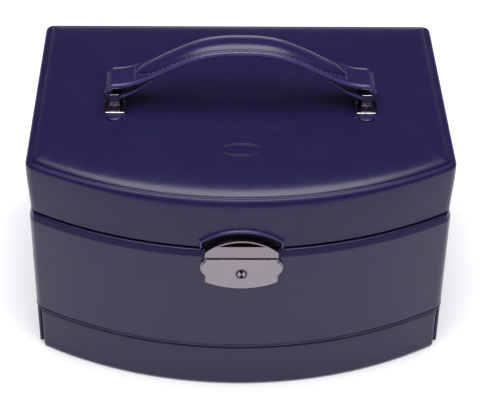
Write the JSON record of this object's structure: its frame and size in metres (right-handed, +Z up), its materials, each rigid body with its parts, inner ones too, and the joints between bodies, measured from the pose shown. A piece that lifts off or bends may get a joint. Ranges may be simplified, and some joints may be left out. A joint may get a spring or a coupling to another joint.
{
  "type": "leather jewellery case",
  "caption": "Bow-fronted leather jewellery case with a padded hinged lid, arched handle, sprung lock, lift-out tray and a full-width drawer.",
  "frame": {"origin": "on the floor, in the middle of the overall width and depth", "axes": "+Z up, front and lock towards -Y, +X to the right seen from the front"},
  "size_m": [0.2622, 0.2082, 0.195],
  "materials": {
    "leather": "smooth dark indigo calf with a satin finish",
    "suede": "short-napped suede lining",
    "board": "plain fibreboard, covered",
    "felt": "dense felt",
    "nickel": "polished dark nickel",
    "steel": "spring wire",
    "mirror": "silvered glass"
  },
  "bodies": {
    "case": {"base_felt": "felt", "base_board": "board", "left_wall": "board", "right_wall": "board", "back_wall": "board", "front_wall": "board", "partition_board": "board", "case_leather": "leather", "rim_roll": "leather", "compartment_lining": "suede", "lower_dividers": "suede", "tray_ledges": "suede", "hinge_leaf_case_left": "nickel", "hinge_leaf_case_right": "nickel", "hinge_pins": "nickel", "hinge_screws_case": "nickel", "lock_case": "nickel", "lock_spring": "steel", "lock_screws": "nickel"},
    "lid": {"lid_board": "board", "lid_left_wall": "board", "lid_right_wall": "board", "lid_back_wall": "board", "lid_front_wall": "board", "lid_leather": "leather", "lid_pad": "leather", "lid_piping": "leather", "lid_lining": "suede", "mirror_frame": "leather", "mirror": "mirror", "hinge_leaf_lid_left": "nickel", "hinge_leaf_lid_right": "nickel", "hinge_screws_lid": "nickel", "hasp_plate": "nickel", "hasp_tongue": "nickel", "hasp_rivets": "nickel", "handle_bracket_left": "nickel", "handle_bracket_right": "nickel", "bracket_rivets": "nickel", "bracket_tabs": "leather", "link_pins": "nickel"},
    "link_left": {"link_left": "nickel"},
    "link_right": {"link_right": "nickel"},
    "handle": {"handle_strap": "leather", "handle_pad": "leather"},
    "tray": {"tray_frame": "suede", "tray_floor": "suede", "tray_dividers": "suede", "ring_rolls": "suede", "tray_tabs": "leather"},
    "drawer": {"drawer_front": "board", "drawer_front_leather": "leather", "drawer_sides": "suede", "drawer_back_board": "suede", "drawer_floor": "suede", "drawer_dividers": "suede"},
    "lock": {"lock_plate": "nickel", "latch_bolt": "nickel"},
    "key": {"key_plug": "nickel"}
  },
  "joints": [
    {"name": "lid_hinge", "type": "hinge", "parent": "case", "child": "lid", "pos_m": [0, 0.10195, 0.1099], "axis": [-1, 0, 0], "range_deg": [0, 95]},
    {"name": "tray_lift", "type": "slide", "parent": "case", "child": "tray", "axis": [0, 0, 1], "range_m": [0, 0.1]},
    {"name": "drawer_slide", "type": "slide", "parent": "case", "child": "drawer", "axis": [0, -1, 0], "range_m": [0, 0.11]},
    {"name": "lock_slide", "type": "slide", "parent": "case", "child": "lock", "axis": [0, 0, -1], "range_m": [0, 0.003], "stiffness_N_per_m": 300, "springref_m": -0.002, "deforming": ["lock_spring"]},
    {"name": "key_turn", "type": "hinge", "parent": "lock", "child": "key", "pos_m": [0, -0.10055, 0.0939], "axis": [0, -1, 0], "range_deg": [0, 90]},
    {"name": "link_left_swing", "type": "hinge", "parent": "lid", "child": "link_left", "pos_m": [-0.0785, 0, 0.1544], "axis": [0, 1, 0], "range_deg": [-25, 25]},
    {"name": "link_right_swing", "type": "hinge", "parent": "lid", "child": "link_right", "pos_m": [0.0785, 0, 0.1544], "axis": [0, 1, 0], "range_deg": [-25, 25]},
    {"name": "handle_swing", "type": "hinge", "parent": "link_left", "child": "handle", "pos_m": [-0.0785, 0, 0.1621], "axis": [0, 1, 0], "range_deg": [-25, 25]}
  ],
  "couplings": [
    {"joint": "tray_lift", "follows": "lid_hinge", "m_per_rad": 0.06},
    {"joint": "link_right_swing", "follows": "link_left_swing", "ratio": 1},
    {"joint": "handle_swing", "follows": "link_left_swing", "ratio": -1}
  ]
}
